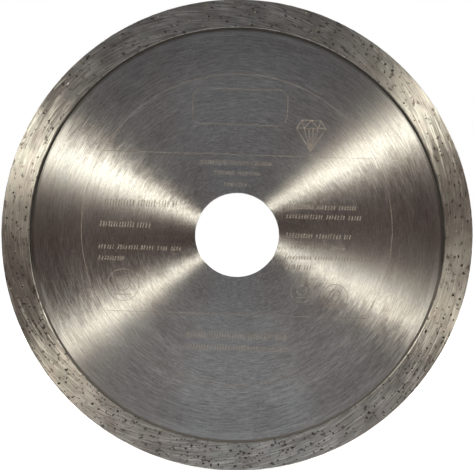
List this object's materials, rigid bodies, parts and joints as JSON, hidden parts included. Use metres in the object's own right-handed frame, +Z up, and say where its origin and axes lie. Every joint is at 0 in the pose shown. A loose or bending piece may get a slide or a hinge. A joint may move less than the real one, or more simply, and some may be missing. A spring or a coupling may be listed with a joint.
{
  "type": "diamond blade",
  "caption": "Round continuous-rim diamond cutting blade: a flat brushed steel core with a plain centre bore, a recessed joint groove and a taller sintered cutting rim.",
  "frame": {"origin": "centre of the bore, halfway through the core's thickness", "axes": "+Y along the blade's axis towards its back side, the front side faces -Y, +Z up"},
  "size_m": [0.1249, 0.0022, 0.125],
  "materials": {
    "core_steel": "concentric brushed spring steel",
    "bond_metal": "dark as-sintered bond",
    "sintered_matrix": "ground sintered metal, pitted",
    "diamond": "ground-off industrial diamond"
  },
  "bodies": {
    "root": {"steel_core": "core_steel", "bond_ring": "bond_metal", "diamond_rim": "sintered_matrix", "diamond_grit_front": "diamond", "diamond_grit_back": "diamond", "diamond_grit_edge": "diamond"}
  },
  "joints": []
}
